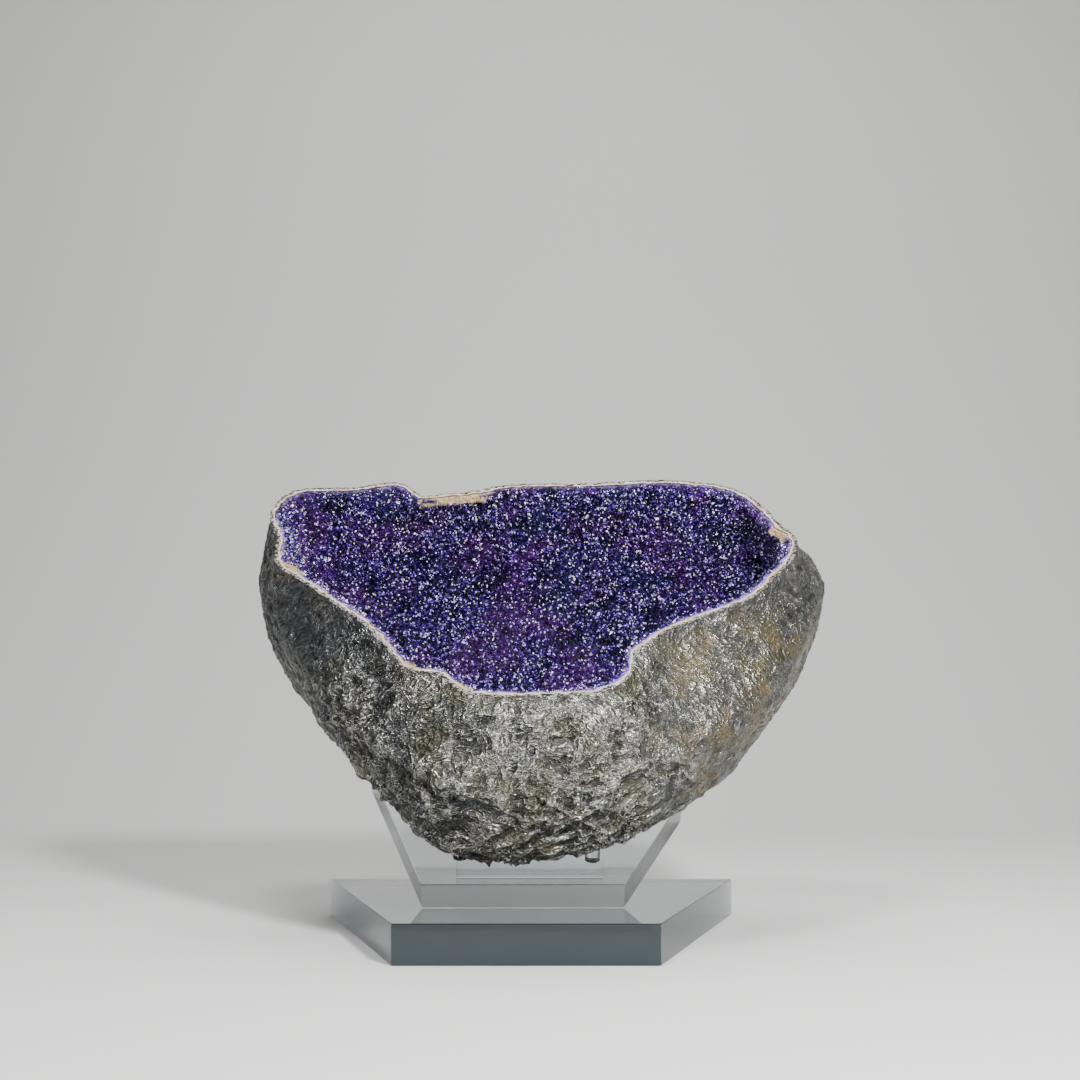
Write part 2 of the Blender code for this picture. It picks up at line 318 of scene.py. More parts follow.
def merged_copy(node, name):
    """A copy of a node's mesh with its loose triangles joined."""
    copy = bpy.data.objects.new(name, frame["nodes"][node].data.copy())
    bpy.context.scene.collection.objects.link(copy)
    take(copy)
    bpy.ops.mesh.customdata_custom_splitnormals_clear()
    return closed_up(copy)


def lies_on_cut(face):
    facing = abs(face.normal.dot(CUT_NORMAL))
    return abs(depth_of(face.center)) < ON_THE_CUT and facing > STRAIGHT_ON


def parted_at_ring(shell):
    """The sawn ring, the part outside it and the part inside it, as three objects."""
    edit(shell, "FACE", lies_on_cut)
    bpy.ops.mesh.separate(type="SELECTED")
    object_mode()
    ring = next(o for o in bpy.context.selected_objects if o is not shell)
    take(shell)
    edit_mode()
    bpy.ops.mesh.select_all(action="SELECT")
    bpy.ops.mesh.separate(type="LOOSE")
    object_mode()
    bowls = sorted(bpy.context.selected_objects, key=lambda o: -o.dimensions.x)
    return ring, bowls[0], bowls[1]


def refine(obj, cuts):
    """Splits every face into smaller ones of the same shape."""
    edit(obj, "FACE", lambda face: True)
    bpy.ops.mesh.subdivide(number_cuts=cuts)
    object_mode()


def refine_border(obj, cuts):
    """Splits only the open edge, so that it still meets its refined neighbour."""
    edit(obj, "EDGE", lambda edge: False)
    bpy.ops.mesh.select_non_manifold(use_wire=False, use_multi_face=False,
                                     use_non_contiguous=False, use_verts=False)
    bpy.ops.mesh.subdivide(number_cuts=cuts)
    object_mode()


def smooth_inside(obj, rounds):
    """Rounds off the broad facets. The open edge at the cut stays where it is."""
    free = obj.vertex_groups.new(name="free")
    inner = [v.index for v in obj.data.vertices if abs(depth_of(v.co)) > ON_THE_CUT]
    free.add(inner, 1.0, "REPLACE")
    smooth = obj.modifiers.new("round the facets", "SMOOTH")
    smooth.factor = 0.5
    smooth.iterations = rounds
    smooth.vertex_group = free.name
    apply_modifier(obj, smooth)
    obj.vertex_groups.clear()


def mark(obj, name, values):
    """Writes one number on each point, for the nodes and the materials to read."""
    obj.data.attributes.new(name, "FLOAT", "POINT").data.foreach_set("value", values)


RIND_CUTS = 7
ROUNDING = 60

rock_shell = merged_copy("rind", "rock_shell")
rock_ring, rock_outside, rock_wall = parted_at_ring(rock_shell)
for name, part in (("ring", rock_ring), ("outside", rock_outside), ("wall", rock_wall)):
    print(name, triangles(part), "triangles")

# %% [markdown]
# The ring's points carry one number, `across`: 0 at the outer edge and 1 at the hollow.
# The material reads it to lay the agate line along the ring, however the rim winds. The
# outside carries `open`: 1 where the relief may move the surface and 0 at the sawn edge.

# %% Refine the parts and join them again
RELIEF_STARTS, RELIEF_FULL = 1.0 * MM, 14.0 * MM


def mark_all(obj, name, value):
    mark(obj, name, [value] * len(obj.data.vertices))


def mark_across(ring, outer, inner):
    """Marks a sawn ring from 0 at its outer edge to 1 at its inner edge."""
    outer_edge = {tuple(round(c, 6) for c in v.co) for v in outer.data.vertices}
    at_outer = [tuple(round(c, 6) for c in v.co) in outer_edge for v in ring.data.vertices]
    mark(ring, "across", [0.0 if outside else 1.0 for outside in at_outer])
    mark_all(outer, "across", 0.0)
    mark_all(inner, "across", 1.0)


mark_across(rock_ring, rock_outside, rock_wall)
refine(rock_ring, RIND_CUTS)
refine(rock_outside, RIND_CUTS)
refine_border(rock_wall, RIND_CUTS)
smooth_inside(rock_outside, ROUNDING)


def opened(place):
    share = (depth_of(place) - RELIEF_STARTS) / (RELIEF_FULL - RELIEF_STARTS)
    return min(max(share, 0.0), 1.0)


mark(rock_outside, "open", [opened(v.co) for v in rock_outside.data.vertices])
mark_all(rock_ring, "open", 0.0)
mark_all(rock_wall, "open", 0.0)


def joined(name, parts):
    """The parts as one object, its seams merged and its faces pointing outwards."""
    take(parts[0])
    for part in parts[1:]:
        part.select_set(True)
    bpy.ops.object.join()
    whole = bpy.context.object
    whole.name = name
    return closed_up(whole)


def open_edges(obj):
    used = np.zeros(len(obj.data.edges), int)
    of_loops = np.empty(len(obj.data.loops), int)
    obj.data.loops.foreach_get("edge_index", of_loops)
    np.add.at(used, of_loops, 1)
    return int((used != 2).sum())


rock_shell = joined("rock_shell", [rock_outside, rock_ring, rock_wall])
print("rock shell:", triangles(rock_shell), "triangles,", open_edges(rock_shell), "open edges")

# %% [markdown]
# ## The rind's relief
#
# Weathered lava rind looks like crumpled, flaking bark: scales one or two centimetres wide
# that tilt against each other with dark gaps between, and sharp creases that wander over
# them. Up on the right it is finer and flatter. A painted texture would slide over the
# shape, so the relief is worked out by nodes from the place in space. The same functions
# serve twice: Geometry Nodes move the fine faces with them, and later the material adds the
# finest creases as bump. The relief mostly rises, so it is sunk a little into the solid's
# surface, and the stone keeps its size.

# %% The pattern of flakes and creases
FLAKE_SIZE, FLAKE_TILT, FLAKE_STEP = 14.0 * MM, 1.20, 2.0 * MM
GAP_WIDTH, GAP_DEPTH = 0.14, 1.0 * MM
FLAKE_LIMIT = 2.0 * MM
CREASE_WIDTH, CREASE_HEIGHT = 12.0 * MM, 1.9 * MM
FOLD_WIDTH, FOLD_HEIGHT = 30.0 * MM, 3.6 * MM
DRIFT_SIZE, DRIFT = 60.0 * MM, 42.0 * MM
SWIRL_SIZE, SWIRL = 17.0 * MM, 9.0 * MM
STRETCH_AROUND = (0.58, 0.80, 1.0)
HALF = (0.5, 0.5, 0.5)
COARSE_MIDDLE = (-0.08, -0.12, 0.15)
COARSE_TO, FINE_FROM, FINE_SHARE = 0.13, 0.26, 0.32
COARSE_PATCH, COARSE_PATCH_REACH = 70.0 * MM, 0.20
FOLD_SHARP, FINE_CREASES = 0.09, 0.35


def wandering(tree, place):
    """The place, drifted and swirled, so that patterns on it don't run straight."""
    drift = minus(tree, cloud(tree, place, DRIFT_SIZE).outputs[1], HALF)
    moved = vector_calc(tree, "ADD", place, scaled(tree, drift, DRIFT))
    swirl = minus(tree, cloud(tree, moved, SWIRL_SIZE).outputs[1], HALF)
    moved = vector_calc(tree, "ADD", moved, scaled(tree, swirl, SWIRL))
    return vector_calc(tree, "MULTIPLY", moved, STRETCH_AROUND)


def creases(tree, place, width, sharp=0.11, detail=1.5):
    """Crests that wander in every direction: 1 on a crest and 0 away from it."""
    waves = cloud(tree, place, width, detail=detail).outputs[0]
    folded = calc(tree, "ABSOLUTE", calc(tree, "SUBTRACT", waves, 0.5))
    return eased(tree, folded, 0.0, sharp, 1.0, 0.0)


def coarse_share(tree, place):
    """1 where the rind is coarse, low in front, and less up at the sides."""
    away = vector_calc(tree, "LENGTH", minus(tree, place, COARSE_MIDDLE))
    patchy = calc(tree, "SUBTRACT", cloud(tree, place, COARSE_PATCH).outputs[0], 0.5)
    away = plus_share(tree, away, patchy, COARSE_PATCH_REACH)
    return eased(tree, away, COARSE_TO, FINE_FROM, 1.0, FINE_SHARE)


def flakes(tree, place):
    """Height of scales that tilt at random, in metres, around zero, with gaps between."""
    cell = cells(tree, place, FLAKE_SIZE)
    across = minus(tree, place, cell.outputs["Position"])
    lean = minus(tree, cell.outputs["Color"], HALF)
    tilt = times(tree, vector_calc(tree, "DOT_PRODUCT", across, lean), FLAKE_TILT)
    tilt = calc(tree, "MAXIMUM", calc(tree, "MINIMUM", tilt, FLAKE_LIMIT), -FLAKE_LIMIT)
    edge = cells(tree, place, FLAKE_SIZE, feature="DISTANCE_TO_EDGE").outputs["Distance"]
    gap = eased(tree, edge, 0.0, GAP_WIDTH, -GAP_DEPTH, 0.0)
    step = plus_share(tree, tilt, along(tree, lean, "Y"), FLAKE_STEP)
    return calc(tree, "ADD", step, gap)


def rind_height(tree, place):
    """How far the relief stands out of the solid's surface, in metres."""
    winding = wandering(tree, place)
    coarse = coarse_share(tree, place)
    scale_height = times(tree, flakes(tree, winding), coarse)
    crease = times(tree, creases(tree, winding, CREASE_WIDTH), CREASE_HEIGHT)
    crease = times(tree, crease, eased(tree, coarse, 0.0, 1.0, FINE_CREASES, 1.0))
    fold = times(tree, creases(tree, winding, FOLD_WIDTH, sharp=FOLD_SHARP), FOLD_HEIGHT)
    fold = times(tree, fold, coarse)
    return calc(tree, "ADD", calc(tree, "ADD", scale_height, crease), fold)


# %% [markdown]
# The saw left a crisp edge, yet seen close the rim isn't smooth: the rock chipped a little
# wherever a crystal or a pore met the blade. The rim is pushed towards the hollow by up to
# three millimetres, by a field that depends on the place alone. The crystal crust is
# pushed by the same field, so the two stay side by side.

# %% Chipped rim, and the nodes that move the rock
CHIP, CHIP_SIZE, CHIP_FADES = 3.0 * MM, 11.0 * MM, 22.0 * MM
CHIP_FROM_TO = (0.32, 0.68)
RELIEF_SUNK = 1.4 * MM


def rim_shift(tree, place):
    """The push of the chipped rim, a vector in the sawn plane towards the hollow."""
    inward = minus(tree, tuple(CUT_CENTRE), place)
    off_plane = vector_calc(tree, "DOT_PRODUCT", inward, tuple(CUT_NORMAL))
    inward = minus(tree, inward, scaled(tree, tuple(CUT_NORMAL), off_plane))
    inward = vector_calc(tree, "NORMALIZE", inward)
    chip = cloud(tree, place, CHIP_SIZE, detail=3.0, roughness=0.6).outputs[0]
    chip = times(tree, eased(tree, chip, *CHIP_FROM_TO), CHIP)
    near = eased(tree, depth_field(tree, place), 0.0, CHIP_FADES, 1.0, 0.0)
    return scaled(tree, inward, times(tree, chip, near))


def moved_by(tree, geometry, move, end):
    """The last node of a group: moves every point, and hands the mesh on."""
    moved = add(tree, "GeometryNodeSetPosition", {"Geometry": geometry, "Offset": move})
    fill(tree, end, {0: moved.outputs[0]})


def relief_nodes():
    """Stores the relief's height on each point and moves the point by it."""
    tree, start, end = geometry_tree("rind relief")
    place = add(tree, "GeometryNodeInputPosition").outputs[0]
    normal = add(tree, "GeometryNodeInputNormal").outputs[0]
    opened_here = read_mark(tree, "open")
    height = rind_height(tree, place)
    stored = add(tree, "GeometryNodeStoreNamedAttribute",
                 {"Geometry": start.outputs[0], "Name": "relief", "Value": height},
                 data_type="FLOAT", domain="POINT")
    sunk = times(tree, calc(tree, "SUBTRACT", height, RELIEF_SUNK), opened_here)
    move = vector_calc(tree, "ADD", scaled(tree, normal, sunk), rim_shift(tree, place))
    moved_by(tree, stored.outputs[0], move, end)
    return tree


run_nodes(rock_shell, relief_nodes())
heights = np.empty(len(rock_shell.data.vertices))
rock_shell.data.attributes["relief"].data.foreach_get("value", heights)
print("relief from", round(heights.min() / MM, 2), "to", round(heights.max() / MM, 2), "mm")

# %% [markdown]
# ## The crystals' bed
#
# The crystals stand on a crust of their own roots, 8 mm thick, that lines the hollow. At
# the cut the crust's edge slopes down from the rock, and small pale crystals stand there
# too. The solid crust has about a thousand large points instead of tens of thousands of
# small ones. Dissolving those tips gives the plain bed back. It is parted, refined and
# rounded like the rock, and then it is made to undulate, because crystals grow in low
# mounds.

# %% Plain bed from the solid crust
BED_CUTS = 5
BED_ROUNDING = 40
MOUND, MOUND_SIZE = 3.0 * MM, 30.0 * MM
MOUND_FROM_TO = (0.3, 0.7)
MOUNDS_START, MOUNDS_FULL = 2.0 * MM, 25.0 * MM
OUTER_SUNK, INNER_SUNK, SUNK_TO = 0.9 * MM, 3.6 * MM, 13.0 * MM


def dissolve_tips(obj):
    """Takes out each point that only three edges meet, which leaves its base triangle."""
    meeting = np.zeros(len(obj.data.vertices), int)
    for edge in obj.data.edges:
        for end in edge.vertices:
            meeting[end] += 1
    edit(obj, "VERT", lambda vertex: meeting[vertex.index] == 3)
    bpy.ops.mesh.dissolve_verts()
    object_mode()
    return int((meeting == 3).sum())


def edge_sink(tree, place):
    """The push that slopes the crust's edge down towards the hollow, a vector."""
    at_edge = eased(tree, read_mark(tree, "across"), 0.0, 1.0, -OUTER_SUNK, -INNER_SUNK)
    fading = eased(tree, depth_field(tree, place), 0.0, SUNK_TO, 1.0, 0.0)
    return scaled(tree, tuple(CUT_NORMAL), times(tree, at_edge, fading))


def crust_nodes(name, mounds):
    """Moves the crust's edge with the chipped rim and down, and raises mounds on the bed."""
    tree, start, end = geometry_tree(name)
    place = add(tree, "GeometryNodeInputPosition").outputs[0]
    move = vector_calc(tree, "ADD", edge_sink(tree, place), rim_shift(tree, place))
    if mounds:
        normal = add(tree, "GeometryNodeInputNormal").outputs[0]
        rise = cloud(tree, place, MOUND_SIZE).outputs[0]
        rise = times(tree, eased(tree, rise, *MOUND_FROM_TO), MOUND)
        deep = eased(tree, depth_field(tree, place), MOUNDS_START, MOUNDS_FULL)
        move = vector_calc(tree, "ADD", scaled(tree, normal, times(tree, rise, deep)), move)
    moved_by(tree, start.outputs[0], move, end)
    return tree


crystal_bed = merged_copy("crystal_crust", "crystal_bed")
tips = dissolve_tips(crystal_bed)
bed_ring, bed_back, bed_front = parted_at_ring(crystal_bed)
mark_across(bed_ring, bed_back, bed_front)
refine(bed_ring, BED_CUTS)
refine(bed_front, BED_CUTS)
refine_border(bed_back, BED_CUTS)
smooth_inside(bed_front, BED_ROUNDING)
print("dissolved", tips, "tips; the bed has", triangles(bed_front), "triangles")

# %% Mounds on the bed, and the crust closed again
def copied(obj, name):
    """A second object with its own mesh."""
    twin = obj.copy()
    twin.data = obj.data.copy()
    twin.name = name
    bpy.context.scene.collection.objects.link(twin)
    return twin


run_nodes(bed_front, crust_nodes("crystal mounds", mounds=True))
edge_only = crust_nodes("crust edge", mounds=False)
for part in (bed_ring, bed_back):
    run_nodes(part, edge_only)
growing = joined("growing", [copied(bed_front, "front"), copied(bed_ring, "ring")])
crystal_bed = joined("crystal_bed", [bed_front, bed_ring, bed_back])
print("crystal bed:", triangles(crystal_bed), "triangles,", open_edges(crystal_bed), "open edges")

# %% [markdown]
# ## One crystal, three ways
#
# Amethyst grows as six-sided quartz that ends in a blunt point. In a fine druse only the
# points show, so each crystal is a six-sided pyramid whose foot is sunk in the bed. Real
# points are never even: three faces are often larger, and the tip is off the middle. Three
# shapes are enough, since each copy is turned, leaned and sized at random. A cone primitive
# is the start. Every second corner of its foot is drawn in, and the tip is moved.

# %% The three crystals
POINT_RADIUS, POINT_BOTTOM, POINT_TOP = 1.25, -0.5, 1.2
POINT_SHAPES = {
    "even_point": (0.94, (0.06, 0.03)),
    "three_faced_point": (0.70, (-0.05, 0.08)),
    "leaning_point": (0.86, (0.30, -0.12)),
}


def make_point(name, drawn_in, tip_shift):
    bpy.ops.object.select_all(action="DESELECT")
    bpy.ops.mesh.primitive_cone_add(vertices=6, radius1=POINT_RADIUS, radius2=0.0,
                                    depth=POINT_TOP - POINT_BOTTOM, end_fill_type="NGON",
                                    location=(0.0, 0.0, (POINT_TOP + POINT_BOTTOM) / 2.0))
    point = bpy.context.object
    point.name = name
    bpy.ops.object.transform_apply(location=True)
    foot = [v for v in point.data.vertices if v.co.z < 0.0]
    foot.sort(key=lambda v: math.atan2(v.co.y, v.co.x))
    for number, corner in enumerate(foot):
        if number % 2:
            corner.co.x *= drawn_in
            corner.co.y *= drawn_in
    tip = max(point.data.vertices, key=lambda v: v.co.z)
    tip.co.x += tip_shift[0]
    tip.co.y += tip_shift[1]
    return point


crystal_kinds = bpy.data.collections.new("crystal kinds")
for name, (drawn_in, tip_shift) in POINT_SHAPES.items():
    point = make_point(name, drawn_in, tip_shift)
    for home in list(point.users_collection):
        home.objects.unlink(point)
    crystal_kinds.objects.link(point)

# %% [markdown]
# ## The druse
#
# Tens of thousands of crystals can't be placed by hand. Geometry Nodes scatter points over
# the bed at an even least distance, put a crystal on each, and realize the copies, so that
# the result is plain mesh. Each crystal keeps a random number, `shade`, that its material
# turns into its own colour. On the crust's edge the crystals are smaller, and the most so
# beside the rock. The druse is cut in strips from left to right, because one mesh of so
# many faces would be too heavy, and a sparser set of larger crystals stands among the
# small ones.


# %% Scattering crystals over the bed
DWARFED, FULL_ACROSS = 0.38, 0.9
SEAM = 1e-7


def random_value(tree, kind, low, high, seed):
    """A random number or vector for each point."""
    first = {"FLOAT_VECTOR": 0, "FLOAT": 2, "INT": 4}[kind]
    made = add(tree, "FunctionNodeRandomValue", {first: low, first + 1: high, "Seed": seed},
               data_type=kind)
    return made.outputs[first // 2]


def scatter_nodes(name, least_distance, most_per_area, sizes, seed, lean, span):
    """Crystals over a bed, between two places from left to right."""
    tree, start, end = geometry_tree(name)
    spread = add(tree, "GeometryNodeDistributePointsOnFaces", {
        "Mesh": start.outputs[0], "Distance Min": least_distance,
        "Density Max": most_per_area, "Seed": seed}, distribute_method="POISSON")
    place = add(tree, "GeometryNodeInputPosition").outputs[0]
    side = along(tree, place, "X")
    too_left = calc(tree, "LESS_THAN", side, span[0])
    too_right = calc(tree, "GREATER_THAN", side, span[1] - SEAM)
    outside = calc(tree, "MAXIMUM", too_left, too_right)
    kept = add(tree, "GeometryNodeDeleteGeometry", {
        "Geometry": spread.outputs["Points"], "Selection": outside}, domain="POINT")
    shaded = add(tree, "GeometryNodeStoreNamedAttribute", {
        "Geometry": kept.outputs[0], "Name": "shade",
        "Value": random_value(tree, "FLOAT", 0.0, 1.0, seed + 1)},
        data_type="FLOAT", domain="POINT")
    dwarfed = eased(tree, read_mark(tree, "across"), 0.0, FULL_ACROSS, DWARFED, 1.0)
    wobble = random_value(tree, "FLOAT_VECTOR", [-lean] * 3, [lean] * 3, seed + 2)
    upwards = vector_calc(tree, "ADD", spread.outputs["Normal"], wobble)
    aligned = add(tree, "FunctionNodeAlignRotationToVector", {"Vector": upwards}, axis="Z")
    spin = add(tree, "ShaderNodeCombineXYZ", {
        "Z": random_value(tree, "FLOAT", 0.0, math.tau, seed + 3)}).outputs[0]
    spin = add(tree, "FunctionNodeEulerToRotation", {0: spin}).outputs[0]
    turned = add(tree, "FunctionNodeRotateRotation", {0: aligned.outputs[0], 1: spin},
                 rotation_space="LOCAL")
    kinds = add(tree, "GeometryNodeCollectionInfo", {
        "Collection": crystal_kinds, "Separate Children": True, "Reset Children": True})
    placed = add(tree, "GeometryNodeInstanceOnPoints", {
        "Points": shaded.outputs[0], "Instance": kinds.outputs[0], "Pick Instance": True,
        "Instance Index": random_value(tree, "INT", 0, len(POINT_SHAPES) - 1, seed + 4),
        "Rotation": turned.outputs[0],
        "Scale": times(tree, random_value(tree, "FLOAT", *sizes, seed + 5), dwarfed)})
    real = add(tree, "GeometryNodeRealizeInstances", {0: placed.outputs[0]})
    fill(tree, end, {0: real.outputs[0]})
    return tree


def grow(name, **how):
    """A new piece of crystals, grown on a copy of the bed."""
    piece = copied(growing, name)
    run_nodes(piece, scatter_nodes(name + " scatter", **how))
    piece.data.shade_flat()
    print(name, triangles(piece), "triangles")
    return piece


# %% Grow the druse
SMALL = {"least_distance": 1.50 * MM, "most_per_area": 860000.0, "sizes": (0.95 * MM, 1.75 * MM),
         "seed": 21, "lean": 0.42}
LARGE = {"least_distance": 9.0 * MM, "most_per_area": 14000.0, "sizes": (2.0 * MM, 2.9 * MM),
         "seed": 57, "lean": 0.50}
STRIP_EDGES = (-1.0, -0.115, 0.0, 0.115, 1.0)
TRIANGLES_PER_POINT = 10
druse = []
for number, span in enumerate(zip(STRIP_EDGES, STRIP_EDGES[1:]), start=1):
    druse.append(grow("druse_strip_%d" % number, span=span, **SMALL))
druse.append(grow("large_crystals", span=(STRIP_EDGES[0], STRIP_EDGES[-1]), **LARGE))
for leftover in list(crystal_kinds.objects) + [growing]:
    bpy.data.objects.remove(leftover)
print("crystals in all:", sum(triangles(piece) for piece in druse) // TRIANGLES_PER_POINT)

# %% [markdown]
# ## Materials
#
# Each material is worked out from the place on the object, in metres, so that nothing
# slides when the object moves. Three effects serve more than one material and are groups:
# fine grit, which roughens rock and agate alike, soft patches, and the few tan spots where
# ochre rock shows at the cut.


# %% Helpers for materials
def new_material(name):
    """A material with one Principled shader. Gives the material, its tree and the shader."""
    made = bpy.data.materials.new(name)
    made.use_nodes = True
    return made, made.node_tree, made.node_tree.nodes["Principled BSDF"]


def dress(obj, *finishes):
    """Gives an object these materials and no others."""
    obj.data.materials.clear()
    for finish in finishes:
        obj.data.materials.append(finish)


def object_place(tree):
    return add(tree, "ShaderNodeTexCoord").outputs["Object"]


def carried(tree, name):
    """The number that each point carries under this name, for a material."""
    return add(tree, "ShaderNodeAttribute", attribute_name=name).outputs["Fac"]


def blend_colors(tree, share, first, second):
    """From the first colour to the second as the share goes from 0 to 1."""
    ends = [color if is_socket(color) else (*color, 1.0) for color in (first, second)]
    inputs = {"Factor": share, 6: ends[0], 7: ends[1]}
    return add(tree, "ShaderNodeMix", inputs, data_type="RGBA").outputs[2]


def stained(tree, color, stain, share, *masks):
    """The colour, with a share of a stain laid over it where all the masks are."""
    for mask in masks:
        share = times(tree, mask, share)
    return blend_colors(tree, share, color, stain)


def ramp(tree, value, stops):
    """A colour for each value, through the given (place, colour) stops."""
    made = add(tree, "ShaderNodeValToRGB", {"Fac": value})
    band = made.color_ramp
    while len(band.elements) < len(stops):
        band.elements.new(1.0)
    for element, (place, color) in zip(band.elements, stops):
        element.position = place
        element.color = (*color, 1.0)
    return made.outputs[0]


def shader_group(name, inputs, output):
    """An empty shader group with inputs {name: (type, default)} and one number out."""
    tree = bpy.data.node_groups.new(name, "ShaderNodeTree")
    for label, (kind, default) in inputs.items():
        socket = tree.interface.new_socket(label, in_out="INPUT", socket_type="NodeSocket" + kind)
        if default is not None:
            socket.default_value = default
    tree.interface.new_socket(output, in_out="OUTPUT", socket_type="NodeSocketFloat")
    return tree, tree.nodes.new("NodeGroupInput"), tree.nodes.new("NodeGroupOutput")


def use_group(tree, group, inputs):
    return add(tree, "ShaderNodeGroup", inputs, node_tree=group).outputs[0]


# %% Grit, patches and tan spots, the shared groups
GRIT_DETAIL = {"Detail": 3.0, "Roughness": 0.65}
PATCH_DETAIL = {"Detail": 3.0, "Roughness": 0.6, "Distortion": 0.4}
TAN, RUST = (0.46, 0.34, 0.17), (0.085, 0.040, 0.008)
TAN_SPOTS = (((-0.081, 0.156, 0.451), 0.038), ((0.261, 0.097, 0.407), 0.016),
             ((-0.118, -0.100, 0.261), 0.024), ((-0.244, 0.040, 0.365), 0.016),
             ((-0.065, -0.118, 0.247), 0.015))
TAN_RAGGED, TAN_RAGGED_REACH, TAN_CORE = 7.0 * MM, 1.8, 0.6


def group_noise(tree, place, size, detail):
    """Cloudy noise inside a group, where its size comes in through a socket."""
    inputs = {"Vector": place, "Scale": calc(tree, "DIVIDE", 1.0, size), **detail}
    return add(tree, "ShaderNodeTexNoise", inputs).outputs[0]


def grit_group():
    inputs = {"Place": ("Vector", None), "Grain Size": ("Float", 1.2 * MM)}
    tree, start, end = shader_group("fine grit", inputs, "Grit")
    fine = group_noise(tree, start.outputs["Place"], start.outputs["Grain Size"], GRIT_DETAIL)
    fill(tree, end, {"Grit": fine})
    return tree


def patch_group():
    inputs = {"Place": ("Vector", None), "Size": ("Float", 0.08), "Low": ("Float", 0.45),
              "High": ("Float", 0.60)}
    tree, start, end = shader_group("soft patches", inputs, "Patch")
    soft = group_noise(tree, start.outputs["Place"], start.outputs["Size"], PATCH_DETAIL)
    fill(tree, end, {"Patch": eased(tree, soft, start.outputs["Low"], start.outputs["High"])})
    return tree


def tan_group():
    """A ragged mask around the few places where ochre rock shows at the cut."""
    tree, start, end = shader_group("tan spots", {"Place": ("Vector", None)}, "Tan")
    place = start.outputs["Place"]
    ragged = cloud(tree, place, TAN_RAGGED, detail=3.0).outputs[0]
    ragged = calc(tree, "SUBTRACT", ragged, 0.5)
    mask = 0.0
    for middle, reach in TAN_SPOTS:
        away = vector_calc(tree, "LENGTH", minus(tree, place, middle))
        away = plus_share(tree, away, ragged, TAN_RAGGED_REACH * reach)
        mask = calc(tree, "MAXIMUM", mask, eased(tree, away, TAN_CORE * reach, reach, 1.0, 0.0))
    fill(tree, end, {"Tan": mask})
    return tree


grit = grit_group()
patches = patch_group()
tan_spots = tan_group()


def patch(tree, place, size, low, high, start=(0.0, 0.0, 0.0)):
    """Patches of a size: 0 where the noise is low and 1 where it is high."""
    moved = vector_calc(tree, "ADD", place, start)
    return use_group(tree, patches, {"Place": moved, "Size": size, "Low": low, "High": high})


print("groups:", [group.name for group in (grit, patches, tan_spots)])

# %% [markdown]
# ### Rind
#
# The rind is a mid grey that looks almost metallic, since its crests are rubbed shiny while
# its cracks are dull. The cracks are also painted nearly black, which is painted shade. So
# its Metallic value rises from nothing in the cracks to nearly all on the crests, which gives
# a contrast that grey paint wouldn't. Where the relief is finer, the tones differ less too.
# Ochre stains lie on the right and low down, olive ones all over below the rim, and a cold
# blue grey shows on the left. The tone is painted lighter towards the right, as painted light,
# with broad patches of painted sheen over it, and it is darker low on the right. The tone
# follows the relief that moved the faces, read from the `relief` number, and the finest
# wrinkles come from a bump on top. Each span below holds the two values that `eased` goes
# between, with what it gives at either where that isn't 0 and 1.

# %% Wrinkles and tone of the rind
FINE_WIDTH, FINE_HEIGHT = 6.5 * MM, 2.4 * MM
FINEST_WIDTH, FINEST_HEIGHT, FINEST_SHARP = 3.2 * MM, 1.0 * MM, 0.14
GRAIN, GRAIN_HEIGHT = 1.3 * MM, 0.5 * MM
LEAST_CRISP = 0.45
RELIEF_DARK, RELIEF_LIGHT = -2.0 * MM, 3.4 * MM
RAISED_SHARE, FINE_TONE, FINEST_TONE, GRIT_TONE = 0.26, 0.29, 0.18, 0.36
# Painted light: the tone is lighter to the right, and painted sheen lies over it in broad patches.
PLAIN_TONE, WRINKLE_MIDDLE, PAINTED_SHEEN_TONE, LOW_RIGHT_TONE = 0.075, 0.14, 0.05, -0.07
PAINTED_SHEEN_PATCHES = (0.09, 0.35, 0.65, (0.3, 0.6, 0.9))
PAINTED_LIGHT_SPAN, RIGHT_SPAN, LOWEST_SPAN = (-0.22, 0.06, -0.035, 0.03), (0.04, 0.24), (0.27, 0.15)


def rind_wrinkles(tree, place):
    """Fine creases, the finest ones, grit, and how crisp they all are here."""
    winding = wandering(tree, place)
    fine = creases(tree, winding, FINE_WIDTH)
    finest = creases(tree, winding, FINEST_WIDTH, sharp=FINEST_SHARP)
    grains = use_group(tree, grit, {"Place": place, "Grain Size": GRAIN})
    crisp = eased(tree, coarse_share(tree, place), FINE_SHARE, 1.0, LEAST_CRISP, 1.0)
    return fine, finest, grains, crisp


def on_right(tree, place):
    return eased(tree, along(tree, place, "X"), *RIGHT_SPAN)


def rind_tone(tree, place, fine, finest, grains, crisp):
    """How light the rind is: low in a crack and high on a crest."""
    # Low relief gives a low tone, so the cracks take the painted shade at the dark end of the
    # greys.
    raised = eased(tree, carried(tree, "relief"), RELIEF_DARK, RELIEF_LIGHT)
    wrinkles = plus_share(tree, times(tree, finest, FINEST_TONE), fine, FINE_TONE)
    wrinkles = times(tree, calc(tree, "SUBTRACT", wrinkles, WRINKLE_MIDDLE), crisp)
    tone = calc(tree, "ADD", plus_share(tree, PLAIN_TONE, raised, RAISED_SHARE), wrinkles)
    tone = plus_share(tree, tone, grains, GRIT_TONE)
    # Painted light: the tone rises from left to right, as if lit from the right, with patches of
    # painted sheen added.
    painted_light = eased(tree, along(tree, place, "X"), *PAINTED_LIGHT_SPAN)
    painted_light = plus_share(tree, painted_light, patch(tree, place, *PAINTED_SHEEN_PATCHES), PAINTED_SHEEN_TONE)
    low = eased(tree, along(tree, place, "Z"), *LOWEST_SPAN)
    low_right = times(tree, low, on_right(tree, place))
    return plus_share(tree, calc(tree, "ADD", tone, painted_light), low_right, LOW_RIGHT_TONE)


